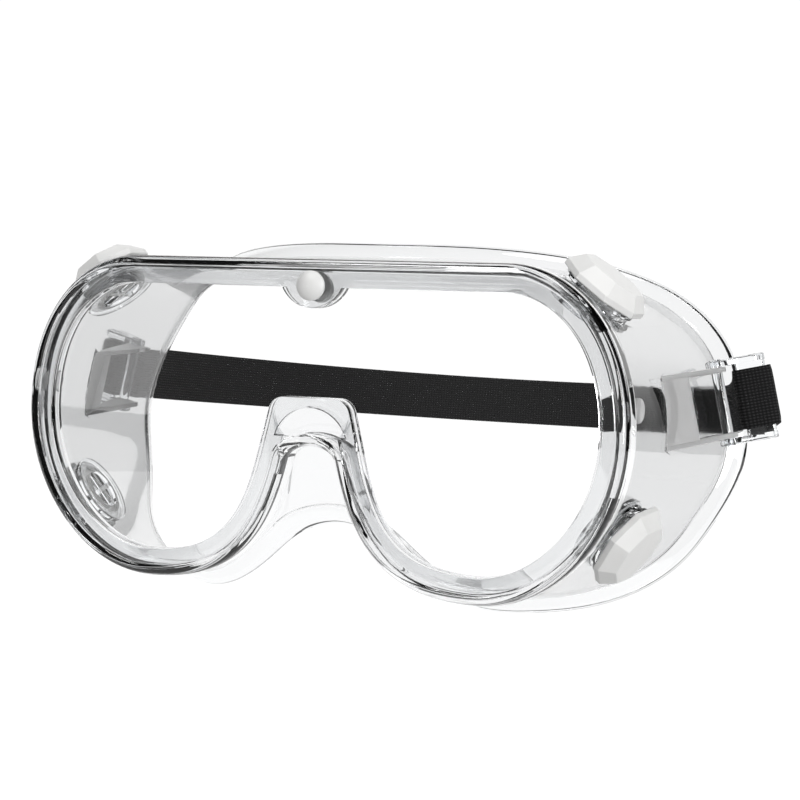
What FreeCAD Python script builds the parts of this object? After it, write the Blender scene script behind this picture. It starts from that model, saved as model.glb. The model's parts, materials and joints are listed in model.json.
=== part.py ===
import FreeCAD
import Part
import math
import os

# Safety goggles, indirect-vent pattern: a clear soft frame with a flat clear lens in front, a face
# seal behind, four capped vents, and an elastic head strap held by a swivelling buckle on each side.
# Millimetres.  X to the viewer's right, -Y out of the front, +Z up.  The origin is on the front face
# of the lens, on the mirror plane, level with the widest part of the sight opening.

V = FreeCAD.Vector

# ---- sight opening, half outline in the X-Z plane ---------------------------------------------
TOP_Z = 32.2            # straight top edge
TOP_X = 49.7            # where the top edge starts to turn down
SIDE_X = 73.0           # widest point, at Z = 0
BOTTOM_X = 43.8         # lowest point of each lobe
BOTTOM_Z = -34.4
NOSE_X = 13.5           # top of the curved side of the nose gap
NOSE_Z = -8.2
NOSE_LEAN = math.radians(13.8)
ARCH_Z = 0.7            # arch over the nose, before the rim thickness is taken off
ARCH_X = 6.0

# ---- front rim ----------------------------------------------------------------------------------
RIM_WIDTH = 6.9         # sight edge to outside of the bead
RIM_FRONT = -2.0        # front face of the lip
RIM_BACK = 6.5          # rear of the bead
RIM_ROUND = 2.3
GROOVE_WIDTH = 5.0      # how far the lens groove runs under the lip
LENS_THICK = 2.0
GROOVE_BACK = 2.1
LIP_BACK = 3.4          # rear face of the inner lip
SKIRT_OUT = 6.0         # outside of the side wall where it leaves the bead
WALL = 1.8              # side wall thickness
TAB_Z = 5.6             # top of the nose tab on the lip
TAB_CORNER = 3.3
KEY_TOP = 3.1           # mushroom key that locks the lens over the nose
KEY_FOOT = -4.0
KEY_R = 10.0

# ---- lens lock stud -----------------------------------------------------------------------------
STUD_Z = 32.6
STUD_HEAD_R = 3.65
STUD_HEAD_H = 2.1
STUD_SHAFT_R = 1.5
STUD_FIT = 0.05
SCALLOP_Z = 36.1        # round swelling of the lip under the stud
SCALLOP_R = 8.9

# ---- rear edge of the side wall, right half, top centre to nose centre --------------------------
REAR_EDGE = [
    (0, 37, 40.4), (25, 41, 40.2), (45, 50, 38.4), (58, 58.5, 35.2), (67.5, 64.3, 31),
    (74, 68.9, 25.9), (81.5, 70.8, 15.6), (86, 67.8, 0), (84.5, 64.8, -15), (80, 58.2, -25),
    (74.5, 50, -33.5), (62, 37, -41), (47, 25, -43), (35, 18.5, -41.8), (26, 15.5, -37),
    (17, 14, -29.5), (8, 13.5, -24.5), (0, 13.5, -23.2),
]

# face seal section: (outward, backward) from the rear edge of the wall
SEAL = [(0, 0), (1.6, 1.0), (3.6, 3.9), (4.0, 5.0), (2.8, 5.5), (0.5, 2.9), (-1.8, 1.6), (-1.8, 0)]

# round bump on the side wall, half under the rim
BUMP_SPOT = (81, 8.8, 6)
BUMP_R = 3.0
BUMP_HIGH = 1.1

# ---- vents --------------------------------------------------------------------------------------
VENT_SPOTS = {"upper": (67, 16.5, 31.3), "lower": (72.2, 16.5, -23.2)}
VENT_AIM = {"upper": 33, "lower": 129}      # degrees from straight up, towards +X
VENT_BORE = 7.1         # hole through the wall collar
VENT_COLLAR = 9.0
COLLAR_TOP = 0.4        # above the foot point on the wall
FLANGE_TOP = 1.1
TUBE_R = 7.0
TUBE_BORE = 5.3
CAP_CORNER = 11.3       # cap, centre to corner of the octagon
CAP_TOP = 8.4
CAP_RIM_H = 1.6
CAP_HIGH = 4.9
CAP_BASE = 1.6          # underside of the cap above the wall
SPIGOT_R = 5.22

# ---- strap brackets, buckles and strap ----------------------------------------------------------
PIVOT = V(86.9, 57.5, 6.0)
LEAN = math.radians(13.0)       # the bracket leans out at the bottom with the wall
WEDGE_TIP = 25.0                # Y of the front end of the bracket
COVER_BACK = 39.0               # Y of the rear edge of the sloped cover
EAR_IN = 7.7                    # bracket ears, from the centre of the strap
EAR_OUT = 8.95
PIN_R = 1.4
PIN_FIT = 0.05
EYE_R = 2.45
ARM_IN = 9.15                   # buckle arms
ARM_OUT = 10.8
BAR_REACH = 8.5                 # pivot to the centre of the end bar
BAR_ANGLE = math.radians(22.0)  # rest direction of the buckle, from square-out towards the rear
BAR_HALF = 2.75                 # the end bar is flat, with round edges
BAR_R = 1.0
ARM_END_R = 3.3
STRAP_W = 15.0
STRAP_T = 1.3
BAND_START = (93.5, 73.0)
BAND_BACK = 203.0
BAND_SAG = 0.084                # drop per millimetre towards the rear


def save(shape, name):
    os.makedirs("parts", exist_ok=True)
    shape.exportStep("parts/" + name + ".step")


def bezier(p, q, r, s, t):
    u = 1.0 - t
    a, b, c, d = u ** 3, 3 * u * u * t, 3 * u * t * t, t ** 3
    return (a * p[0] + b * q[0] + c * r[0] + d * s[0], a * p[1] + b * q[1] + c * r[1] + d * s[1])


LEG = (-math.sin(NOSE_LEAN), math.cos(NOSE_LEAN))


def sight_point(s):
    """Right half of the sight opening: s runs 0..5 from the top centre to the arch centre."""
    part = min(int(s), 4)
    t = s - part
    if part == 0:
        return (TOP_X * t, TOP_Z)
    if part == 1:
        return bezier((TOP_X, TOP_Z), (TOP_X + 9.9, TOP_Z), (SIDE_X, 23.1), (SIDE_X, 0), t)
    if part == 2:
        return bezier((SIDE_X, 0), (SIDE_X, -18.7), (BOTTOM_X + 15, BOTTOM_Z), (BOTTOM_X, BOTTOM_Z), t)
    if part == 3:
        low = (NOSE_X - 18.4 * LEG[0], NOSE_Z - 18.4 * LEG[1])
        return bezier((BOTTOM_X, BOTTOM_Z), (BOTTOM_X - 18.8, BOTTOM_Z), low, (NOSE_X, NOSE_Z), t)
    high = (NOSE_X + 6 * LEG[0], NOSE_Z + 6 * LEG[1])
    return bezier((NOSE_X, NOSE_Z), high, (ARCH_X, ARCH_Z), (0, ARCH_Z), t)


def rim_point(s, out):
    """Point of the sight outline moved outward, square to the edge."""
    if s <= 0:
        return (0.0, TOP_Z + out)
    if s >= 5:
        return (0.0, ARCH_Z - out)
    a = sight_point(max(s - 0.01, 0))
    b = sight_point(min(s + 0.01, 5))
    p = sight_point(s)
    dx, dz = b[0] - a[0], b[1] - a[1]
    n = math.hypot(dx, dz)
    return (p[0] - dz / n * out, p[1] + dx / n * out)


def closed_curve(half, params=None):
    """Smooth closed curve through a right half outline and its mirror image."""
    left = [V(-p.x, p.y, p.z) for p in reversed(half[1:-1])]
    pts = list(half) + left
    curve = Part.BSplineCurve()
    if params is None:
        curve.interpolate(Points=pts, PeriodicFlag=True)
    else:
        total = params[-1]
        both = list(params) + [2 * total - t for t in reversed(params[:-1])]
        curve.interpolate(Points=pts, Parameters=both, PeriodicFlag=True)
    return curve.toShape()


STATIONS = [0, 0.33, 0.66, 0.9] + [1 + i / 9.0 for i in range(28)] + [4, 4.14, 4.3, 4.5, 4.75, 5]
STATIONS = sorted(set(round(s, 4) for s in STATIONS))


def rim_face(out, y):
    half = []
    for s in STATIONS:
        x, z = rim_point(s, out)
        half.append(V(x, y, z))
    return Part.Face(Part.Wire([closed_curve(half)]))


def plate(out, y0, y1):
    return rim_face(out, y0).extrude(V(0, y1 - y0, 0))


def mirror(shape):
    return shape.mirror(V(0, 0, 0), V(1, 0, 0))


def box(x0, x1, y0, y1, z0, z1):
    return Part.makeBox(x1 - x0, y1 - y0, z1 - z0, V(x0, y0, z0))


def tab_solid(y0, y1):
    """Nose tab of the lip: two leaning sides, a flat top and rounded corners."""
    k = V(NOSE_X + LEG[0] * (TAB_Z - NOSE_Z) / LEG[1], y0, TAB_Z)
    d = V(LEG[0], 0, LEG[1])
    p1 = k - d * TAB_CORNER
    p2 = k + V(-TAB_CORNER, 0, 0)
    bis = (V(-1, 0, 0) - d).normalize()
    half_angle = (-d).getAngle(V(-1, 0, 0)) / 2
    r = TAB_CORNER * math.tan(half_angle)
    mid = k + bis * (r / math.sin(half_angle) - r)
    foot = V(NOSE_X, y0, NOSE_Z)

    def m(p):
        return V(-p.x, p.y, p.z)

    edges = [
        Part.makeLine(foot, p1),
        Part.Arc(p1, mid, p2).toShape(),
        Part.makeLine(p2, m(p2)),
        Part.Arc(m(p2), m(mid), m(p1)).toShape(),
        Part.makeLine(m(p1), m(foot)),
        Part.makeLine(m(foot), foot),
    ]
    return Part.Face(Part.Wire(edges)).extrude(V(0, y1 - y0, 0))


def key_solid(y0, y1, grow):
    """Round-headed key over the nose; the lens is notched to fit over it."""
    disc = Part.makeCylinder(KEY_R + grow, y1 - y0, V(0, y0, KEY_TOP - KEY_R), V(0, 1, 0))
    return disc.common(box(-20, 20, y0, y1, KEY_FOOT - grow, 20))


def scallop_solid(y0, y1):
    disc = Part.makeCylinder(SCALLOP_R, y1 - y0, V(0, y0, SCALLOP_Z), V(0, 1, 0))
    return disc.common(box(-20, 20, y0, y1, 20, TOP_Z + 1))


def lens_solid(out, ear_out, y0, y1, key_grow):
    body = plate(out, y0, y1)
    ears = plate(ear_out, y0, y1).common(box(-90, 90, y0, y1, -13.3 - key_grow, 23.7 + key_grow))
    return body.fuse(ears).cut(key_solid(y0, y1, key_grow)).removeSplitter()


def make_rim():
    bead = plate(RIM_WIDTH, RIM_FRONT, RIM_BACK)
    front = [e for e in bead.Edges if abs(e.BoundBox.YMin - RIM_FRONT) < 0.01 and e.BoundBox.YLength < 0.01]
    bead = bead.makeFillet(RIM_ROUND, front)
    back = [e for e in bead.Edges if abs(e.BoundBox.YMax - RIM_BACK) < 0.01 and e.BoundBox.YLength < 0.01]
    bead = bead.makeFillet(0.7, back)
    sight = plate(0, RIM_FRONT - 1, LIP_BACK + 0.001)
    sight = sight.cut(tab_solid(RIM_FRONT - 1, LIP_BACK + 0.001))
    sight = sight.cut(scallop_solid(RIM_FRONT - 1, LIP_BACK + 0.001))
    groove = lens_solid(GROOVE_WIDTH, GROOVE_WIDTH + 0.7, 0, GROOVE_BACK, -0.15)
    inside = plate(SKIRT_OUT - WALL, LIP_BACK, RIM_BACK + 1)
    hole = Part.makeCylinder(STUD_SHAFT_R + STUD_FIT, 12, V(0, -4, STUD_Z), V(0, 1, 0))
    return bead.cut(sight).cut(groove).cut(inside).cut(hole)


def make_lens():
    lens = lens_solid(GROOVE_WIDTH - 0.15, GROOVE_WIDTH + 0.55, 0.05, 0.05 + LENS_THICK, 0.1)
    hole = Part.makeCylinder(STUD_SHAFT_R + STUD_FIT, 12, V(0, -4, STUD_Z), V(0, 1, 0))
    return lens.cut(hole)


def make_stud():
    """Press stud: a domed head and a plain shaft through the lip, the lens and a washer."""
    h, r = STUD_HEAD_H, STUD_HEAD_R
    y = RIM_FRONT - 0.05
    dome_r = (r * r + (h - 0.6) ** 2) / (2 * (h - 0.6))
    edge = V(r, y - 0.6, 0)
    tip = V(0, y - h, 0)
    a = math.asin(r / dome_r) / 2
    mid = V(dome_r * math.sin(a), y - h + dome_r - dome_r * math.cos(a), 0)
    edges = [
        Part.makeLine(V(0, 6.4, 0), V(STUD_SHAFT_R - 0.4, 6.4, 0)),
        Part.makeLine(V(STUD_SHAFT_R - 0.4, 6.4, 0), V(STUD_SHAFT_R, 6.0, 0)),
        Part.makeLine(V(STUD_SHAFT_R, 6.0, 0), V(STUD_SHAFT_R, y, 0)),
        Part.makeLine(V(STUD_SHAFT_R, y, 0), V(r, y, 0)),
        Part.makeLine(V(r, y, 0), edge),
        Part.Arc(edge, mid, tip).toShape(),
        Part.makeLine(tip, V(0, 6.4, 0)),
    ]
    solid = Part.Face(Part.Wire(edges)).revolve(V(0, 0, 0), V(0, 1, 0), 360)
    solid.translate(V(0, 0, STUD_Z))
    return solid


def make_washer():
    disc = Part.makeCylinder(3.5, 1.6, V(0, LIP_BACK, STUD_Z), V(0, 1, 0))
    hole = Part.makeCylinder(STUD_SHAFT_R + STUD_FIT, 4, V(0, LIP_BACK - 1, STUD_Z), V(0, 1, 0))
    rim = [e for e in disc.Edges if e.BoundBox.YMin > LIP_BACK + 1 and e.BoundBox.YLength < 0.01]
    return disc.makeFillet(0.5, rim).cut(hole)


# stations of the sight outline that face the points of REAR_EDGE
FACING = [0, 0.5, 0.9, 1.25, 1.45, 1.6, 1.82, 2, 2.3, 2.5, 2.68, 2.88, 3.08, 3.3, 3.5, 3.78, 4.3, 5]


def steps(points):
    """Running length along a row of points, scaled to 0..1."""
    run = [0.0]
    for a, b in zip(points, points[1:]):
        run.append(run[-1] + a.distanceToPoint(b))
    return [r / run[-1] for r in run]


REAR = [V(*p) for p in REAR_EDGE]
FRONT = [V(rim_point(s, SKIRT_OUT)[0], RIM_BACK, rim_point(s, SKIRT_OUT)[1]) for s in FACING]
SHARED = [(a + b) / 2 for a, b in zip(steps(REAR), steps(FRONT))]


def outward(points):
    """Unit normals in the X-Z plane, pointing away from the eyes."""
    result = []
    for i, p in enumerate(points):
        if i == 0:
            result.append(V(0, 0, 1))
        elif i == len(points) - 1:
            result.append(V(0, 0, -1))
        else:
            d = points[i + 1] - points[i - 1]
            result.append(V(-d.z, 0, d.x).normalize())
    return result


REAR_OUT = outward(REAR)


def rear_curve(out, back):
    half = [p + n * out + V(0, back, 0) for p, n in zip(REAR, REAR_OUT)]
    return closed_curve(half, SHARED)


def front_curve(out):
    half = [V(rim_point(s, out)[0], RIM_BACK, rim_point(s, out)[1]) for s in FACING]
    return closed_curve(half, SHARED)


def ring_solid(curves):
    """Solid ring whose section has one corner on each of the closed curves."""
    faces = [Part.makeRuledSurface(a, b) for a, b in zip(curves, curves[1:] + curves[:1])]
    shell = Part.makeShell(faces)
    shell.sewShape()
    solid = Part.Solid(Part.Shell(shell.Faces))
    if solid.Volume < 0:
        solid.reverse()
    return solid


def make_wall():
    return ring_solid([front_curve(SKIRT_OUT), rear_curve(0, 0), rear_curve(-WALL, 0),
                       front_curve(SKIRT_OUT - WALL)])


def make_seal():
    return ring_solid([rear_curve(out, back) for out, back in SEAL])


def turned(shape, base, axis):
    """Carry a shape built up the Z axis to a base point and axis."""
    shape.Placement = FreeCAD.Placement(base, FreeCAD.Rotation(V(0, 0, 1), axis))
    return shape


def tube(r_out, r_in, low, high):
    return Part.makeCylinder(r_out, high - low, V(0, 0, low)).cut(
        Part.makeCylinder(r_in, high - low + 2, V(0, 0, low - 1)))


def vent_seat(wall, row):
    """Foot point and outward direction of a vent on the side wall."""
    a = math.radians(VENT_AIM[row])
    aim = V(math.sin(a), 0, math.cos(a))
    probe = V(*VENT_SPOTS[row]) + aim * 14
    foot = wall.distToShape(Part.Vertex(probe))[1][0][0]
    return foot, (probe - foot).normalize()


def make_bump(wall):
    """Low round bump on the side wall, level with the strap."""
    foot = wall.distToShape(Part.Vertex(V(*BUMP_SPOT)))[1][0][0]
    bump = Part.makeCylinder(BUMP_R, BUMP_HIGH + 1.0, V(0, 0, -1.0))
    top = [e for e in bump.Edges if e.BoundBox.ZMin > BUMP_HIGH - 0.01]
    return turned(bump.makeFillet(0.7, top), foot, V(1, 0, 0))


def collar():
    return Part.makeCylinder(VENT_COLLAR, COLLAR_TOP + 3.0, V(0, 0, -3.0))


def vent_base():
    """Snap-in vent ring: tube, inner and outer flanges, and a cross that splits the air hole."""
    body = tube(TUBE_R, TUBE_BORE, -4.2, FLANGE_TOP)
    body = body.fuse(tube(VENT_COLLAR + 0.4, TUBE_BORE, -4.2, -3.0))
    body = body.fuse(tube(VENT_COLLAR + 0.6, TUBE_BORE, COLLAR_TOP, FLANGE_TOP))
    for turn in (0, 90):
        bar = Part.makeBox(2 * TUBE_BORE + 1, 1.2, 1.0, V(-TUBE_BORE - 0.5, -0.6, -4.2))
        bar.rotate(V(0, 0, 0), V(0, 0, 1), turn)
        body = body.fuse(bar)
    return body.removeSplitter()


def octagon(r, z):
    pts = [V(r * math.cos(math.radians(22.5 + 45 * i)), r * math.sin(math.radians(22.5 + 45 * i)), z)
           for i in range(9)]
    return Part.makePolygon(pts)


def vent_cap():
    """Eight-sided cap with sloping facets and a spigot that pushes into the vent ring."""
    low = Part.Face(octagon(CAP_CORNER, CAP_BASE)).extrude(V(0, 0, CAP_RIM_H))
    top = Part.makeLoft([octagon(CAP_CORNER, CAP_BASE + CAP_RIM_H),
                         octagon(CAP_TOP, CAP_BASE + CAP_HIGH)], True, True)
    body = low.fuse(top).removeSplitter()
    body = body.makeFillet(0.35, body.Edges)
    body = body.cut(Part.makeCylinder(CAP_CORNER - 2.4, 1.2, V(0, 0, CAP_BASE - 0.2)))
    spigot = tube(SPIGOT_R, SPIGOT_R - 1.2, -2.3, CAP_BASE + 1.4)
    for turn in (0, 90):
        slot = Part.makeBox(20, 4.0, 2.6, V(-10, -2.0, CAP_BASE - 2.6))
        slot.rotate(V(0, 0, 0), V(0, 0, 1), turn)
        spigot = spigot.cut(slot)
    return body.fuse(spigot).removeSplitter()


UP = V(-math.sin(LEAN), 0, math.cos(LEAN))
OUT = V(math.cos(LEAN), 0, math.sin(LEAN))


def at(n, y, u):
    """Point of the right-hand bracket: n outward and y backward of the pivot, u up the strap width."""
    return PIVOT + OUT * n + V(0, y, 0) + UP * u


def slab(corners, u0, u1):
    """Plate cut square to the strap width from corners given as (outward, backward)."""
    pts = [at(n, y, u0) for n, y in corners]
    return Part.Face(Part.makePolygon(pts + pts[:1])).extrude(UP * (u1 - u0))


def rod(n, y, u0, u1, r):
    return Part.makeCylinder(r, u1 - u0, at(n, y, u0), UP)


def outer_piece(shape):
    """The piece farthest from the mirror plane, after the wall has been taken out."""
    return max(shape.Solids, key=lambda s: s.BoundBox.XMax)


def make_bracket(wall):
    """Two tapering ears and a sloped cover, moulded on the outside of the wall."""
    tip = WEDGE_TIP - PIVOT.y
    cover = COVER_BACK - PIVOT.y
    deep = -14.0
    slope = [(deep, tip), (-6.2, tip), (1.9, -1.8), (2.2, 0), (1.6, 1.7), (0, 2.3), (deep, 2.3)]
    ears = []
    for u0, u1 in ((EAR_IN, EAR_OUT), (-EAR_OUT, -EAR_IN)):
        ear = slab(slope, u0, u1)
        ear = ear.cut(rod(0, 0, u0 - 1, u1 + 1, PIN_R))
        ears.append(ear)
    run = 8.1 / (-1.8 - tip)
    back_n = -6.2 + run * (cover - tip)
    lid = slab([(-6.2, tip), (back_n, cover), (back_n - 1.3, cover), (-7.5, tip)], -EAR_IN, EAR_IN)
    body = ears[0].fuse(ears[1]).fuse(lid)
    return outer_piece(body.cut(wall))


def make_pin():
    return rod(0, 0, -ARM_OUT - 0.2, ARM_OUT + 0.2, PIN_R)


REACH = OUT * math.cos(BAR_ANGLE) + V(0, 1, 0) * math.sin(BAR_ANGLE)
ACROSS = V(0, 1, 0) * math.cos(BAR_ANGLE) - OUT * math.sin(BAR_ANGLE)


def oblong(centre, half, r, u0, u1):
    """Flat bar with round edges, along the strap width, its flat lying in the buckle's plane."""
    c = PIVOT + REACH * centre + UP * u0
    p = [c + REACH * (a * half) + ACROSS * (b * r) for a, b in ((-1, 1), (1, 1), (1, -1), (-1, -1))]
    far = c + REACH * (half + r)
    near = c - REACH * (half + r)
    edges = [
        Part.makeLine(p[0], p[1]),
        Part.Arc(p[1], far, p[2]).toShape(),
        Part.makeLine(p[2], p[3]),
        Part.Arc(p[3], near, p[0]).toShape(),
    ]
    return Part.Face(Part.Wire(edges)).extrude(UP * (u1 - u0))


def make_buckle():
    """Rigid clear loop: two arms with eyes on the pin, joined by the flat end bar."""
    body = oblong(BAR_REACH, BAR_HALF, BAR_R, -ARM_IN - 0.5, ARM_IN + 0.5)
    reach = BAR_REACH + BAR_HALF + 1.2 - ARM_END_R
    for u0, u1 in ((ARM_IN, ARM_OUT), (-ARM_OUT, -ARM_IN)):
        eye = rod(0, 0, u0, u1, EYE_R)
        end = oblong((reach + 6.4) / 2, (reach - 6.4) / 2, ARM_END_R, u0, u1)
        a, b = at(0, 0, u0), PIVOT + REACH * 6.4 + UP * u0
        pts = [a + ACROSS * EYE_R, b + ACROSS * ARM_END_R, b - ACROSS * ARM_END_R, a - ACROSS * EYE_R]
        arm = Part.Face(Part.makePolygon(pts + pts[:1])).extrude(UP * (u1 - u0))
        plate = end.fuse(arm).fuse(eye).removeSplitter()
        outer = [e for e in plate.Edges if abs(abs((e.CenterOfMass - PIVOT).dot(UP)) - ARM_OUT) < 0.01]
        body = body.fuse(plate.makeFillet(0.5, outer))
    body = body.cut(rod(0, 0, -ARM_OUT - 1, ARM_OUT + 1, PIN_R + PIN_FIT))
    return body.removeSplitter()


def make_turn():
    """The turn of strap around the end bar."""
    half = STRAP_W / 2
    gap = BAR_R + 0.1
    turn = oblong(BAR_REACH, BAR_HALF, gap + STRAP_T, -half, half)
    return turn.cut(oblong(BAR_REACH, BAR_HALF, gap, -half - 1, half + 1))


def band_point(t):
    """A point on the middle of the head band, right half: t runs 0..1 from the side to the back."""
    x0, y0 = BAND_START
    x = x0 * math.cos(t * math.pi / 2) ** 0.9
    y = y0 + (BAND_BACK - y0) * math.sin(t * math.pi / 2) ** 1.25
    return V(x, y, PIVOT.z + 1.0 - BAND_SAG * (y - PIVOT.y))


def make_band():
    """Elastic band around the back of the head, standing on edge, sagging a little at the rear."""
    half = [band_point(i / 14.0) for i in range(15)]
    row = half + [V(-p.x, p.y, p.z) for p in reversed(half[:-1])]
    rails = []
    for side in (-0.5, 0.5):
        for lift in (-0.5, 0.5):
            pts = []
            for i, p in enumerate(row):
                a = row[max(i - 1, 0)]
                b = row[min(i + 1, len(row) - 1)]
                d = b - a
                n = V(-d.y, d.x, 0).normalize()
                pts.append(p + n * (side * STRAP_T) + V(0, 0, lift * STRAP_W))
            curve = Part.BSplineCurve()
            curve.interpolate(Points=pts)
            rails.append(curve.toShape())
    order = [rails[0], rails[1], rails[3], rails[2]]
    faces = [Part.makeRuledSurface(a, b) for a, b in zip(order, order[1:] + order[:1])]
    for end in (0, -1):
        pts = [e.Vertexes[end].Point for e in order]
        faces.append(Part.Face(Part.makePolygon(pts + pts[:1])))
    shell = Part.makeShell(faces)
    shell.sewShape()
    solid = Part.Solid(Part.Shell(shell.Faces))
    if solid.Volume < 0:
        solid.reverse()
    return solid


wall = make_wall()
seats = {}
for row in ("upper", "lower"):
    seats[row] = vent_seat(wall, row)

save(make_rim(), "frame_rim")
save(make_lens(), "lens")
save(make_stud(), "lens_lock_stud")
save(make_washer(), "stud_washer")

bracket = make_bracket(wall)
save(bracket, "strap_bracket_right")
save(mirror(bracket), "strap_bracket_left")

skirt = wall
for row in ("upper", "lower"):
    foot, aim = seats[row]
    ring = turned(collar(), foot, aim)
    bore = turned(Part.makeCylinder(VENT_BORE, 16, V(0, 0, -8)), foot, aim)
    seat = turned(Part.makeCylinder(VENT_COLLAR + 0.8, 4.0, V(0, 0, -7.0)), foot, aim)
    skirt = skirt.fuse(ring).cut(bore).cut(seat)
    skirt = skirt.fuse(mirror(ring)).cut(mirror(bore)).cut(mirror(seat))
bump = make_bump(wall)
skirt = skirt.fuse(bump).fuse(mirror(bump))
front_trim = box(-120, 120, -30, RIM_BACK, -80, 80)
skirt = skirt.cut(front_trim)
save(skirt, "frame_skirt")
save(make_seal(), "face_seal")

for row in ("upper", "lower"):
    foot, aim = seats[row]
    base = turned(vent_base(), foot, aim)
    cap = turned(vent_cap(), foot, aim)
    save(base, "vent_ring_" + row + "_right")
    save(mirror(base), "vent_ring_" + row + "_left")
    save(cap, "vent_cap_" + row + "_right")
    save(mirror(cap), "vent_cap_" + row + "_left")

for name, make in (("pivot_pin", make_pin), ("buckle", make_buckle), ("strap_turn", make_turn)):
    piece = make()
    save(piece, name + "_right")
    save(mirror(piece), name + "_left")

save(make_band(), "strap_band")
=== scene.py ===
import bpy
import bmesh
import json
import math
import numpy as np
from mathutils import Matrix, Vector
from mathutils.bvhtree import BVHTree


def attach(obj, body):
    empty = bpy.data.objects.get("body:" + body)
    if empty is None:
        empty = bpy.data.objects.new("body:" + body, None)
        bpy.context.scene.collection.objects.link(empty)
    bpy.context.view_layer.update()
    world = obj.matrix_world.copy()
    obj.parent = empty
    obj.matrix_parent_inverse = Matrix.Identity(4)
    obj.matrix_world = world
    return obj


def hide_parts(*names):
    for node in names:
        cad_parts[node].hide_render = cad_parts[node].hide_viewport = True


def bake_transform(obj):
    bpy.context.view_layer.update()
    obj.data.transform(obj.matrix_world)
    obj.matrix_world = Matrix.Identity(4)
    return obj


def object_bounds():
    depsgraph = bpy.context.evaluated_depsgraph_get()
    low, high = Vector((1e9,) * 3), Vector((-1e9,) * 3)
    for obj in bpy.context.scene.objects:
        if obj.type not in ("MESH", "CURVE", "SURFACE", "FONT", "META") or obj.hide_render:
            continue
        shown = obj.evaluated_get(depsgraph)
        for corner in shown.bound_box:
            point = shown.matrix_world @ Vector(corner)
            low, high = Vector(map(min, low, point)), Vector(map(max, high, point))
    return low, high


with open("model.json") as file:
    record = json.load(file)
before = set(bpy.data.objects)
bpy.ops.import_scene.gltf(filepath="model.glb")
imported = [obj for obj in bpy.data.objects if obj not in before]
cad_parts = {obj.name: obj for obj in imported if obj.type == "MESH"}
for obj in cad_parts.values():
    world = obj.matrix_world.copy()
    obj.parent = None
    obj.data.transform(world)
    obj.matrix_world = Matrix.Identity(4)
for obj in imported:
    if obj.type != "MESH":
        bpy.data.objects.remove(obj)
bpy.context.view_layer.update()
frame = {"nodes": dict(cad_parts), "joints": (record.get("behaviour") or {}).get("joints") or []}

MM = 0.001

# =================================================================================================
# Outlines of the frame, in millimetres: x, z in the plane of the lens, y towards the face
# =================================================================================================
TOP_Z, TOP_X, SIDE_X = 32.2, 49.7, 73.0
BOTTOM_X, BOTTOM_Z = 43.8, -34.4
NOSE_X, NOSE_Z = 13.5, -8.2
TOP_PULL, SIDE_PULL_UP, SIDE_PULL_DOWN = 9.9, 23.1, 18.7     # reach of the curves' handles
BOTTOM_PULL_OUT, BOTTOM_PULL_IN, NOSE_PULL_DOWN, NOSE_PULL_UP = 15, 18.8, 18.4, 6
NOSE_LEAN = math.radians(13.8)
LEG = (-math.sin(NOSE_LEAN), math.cos(NOSE_LEAN))
ARCH_X, ARCH_Z = 6.0, 0.7
TAB_Z, TAB_CORNER, TAB_ROUND = 5.6, 3.3, 0.58
SCALLOP_Z, SCALLOP_R = 36.1, 8.9
KEY_NECK = 7.3
KEY_R, KEY_TOP, KEY_FOOT = 9.85, 2.95, -3.85
GROOVE_OUT, EAR_OUT, EAR_TOP, EAR_BOTTOM = 5.0, 0.7, 23.7, -13.3
STUD_Z, STUD_HOLE_R = 32.6, 1.55
RIM_BACK = 6.5
SKIRT_OUT, WALL = 6.0, 1.8
REAR_EDGE = [
    (0, 37, 40.4), (25, 41, 40.2), (45, 50, 38.4), (58, 58.5, 35.2), (67.5, 64.3, 31),
    (74, 68.9, 25.9), (81.5, 70.8, 15.6), (86, 67.8, 0), (84.5, 64.8, -15), (80, 58.2, -25),
    (74.5, 50, -33.5), (62, 37, -41), (47, 25, -43), (35, 18.5, -41.8), (26, 15.5, -37),
    (17, 14, -29.5), (8, 13.5, -24.5), (0, 13.5, -23.2),
]
STEP = 0.004                                                 # half the span used to find a direction
# stations of the rim that face the points of REAR_EDGE
FACING = [0, 0.5, 0.9, 1.25, 1.45, 1.6, 1.82, 2, 2.3, 2.5, 2.68, 2.88, 3.08, 3.3, 3.5, 3.78, 4.3, 5]


def bezier(p, q, r, s, t):
    u = 1.0 - t
    a, b, c, d = u ** 3, 3 * u * u * t, 3 * u * t * t, t ** 3
    return (a * p[0] + b * q[0] + c * r[0] + d * s[0], a * p[1] + b * q[1] + c * r[1] + d * s[1])


def sight(s):
    """Right half of the sight opening; s runs 0..5 from the top centre to the nose arch."""
    part = min(int(s), 4)
    t = s - part
    if part == 0:
        return (TOP_X * t, TOP_Z)
    if part == 1:
        return bezier((TOP_X, TOP_Z), (TOP_X + TOP_PULL, TOP_Z), (SIDE_X, SIDE_PULL_UP), (SIDE_X, 0), t)
    if part == 2:
        return bezier((SIDE_X, 0), (SIDE_X, -SIDE_PULL_DOWN), (BOTTOM_X + BOTTOM_PULL_OUT, BOTTOM_Z),
                      (BOTTOM_X, BOTTOM_Z), t)
    if part == 3:
        low = (NOSE_X - NOSE_PULL_DOWN * LEG[0], NOSE_Z - NOSE_PULL_DOWN * LEG[1])
        return bezier((BOTTOM_X, BOTTOM_Z), (BOTTOM_X - BOTTOM_PULL_IN, BOTTOM_Z), low, (NOSE_X, NOSE_Z), t)
    high = (NOSE_X + NOSE_PULL_UP * LEG[0], NOSE_Z + NOSE_PULL_UP * LEG[1])
    return bezier((NOSE_X, NOSE_Z), high, (ARCH_X, ARCH_Z), (0, ARCH_Z), t)


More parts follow.
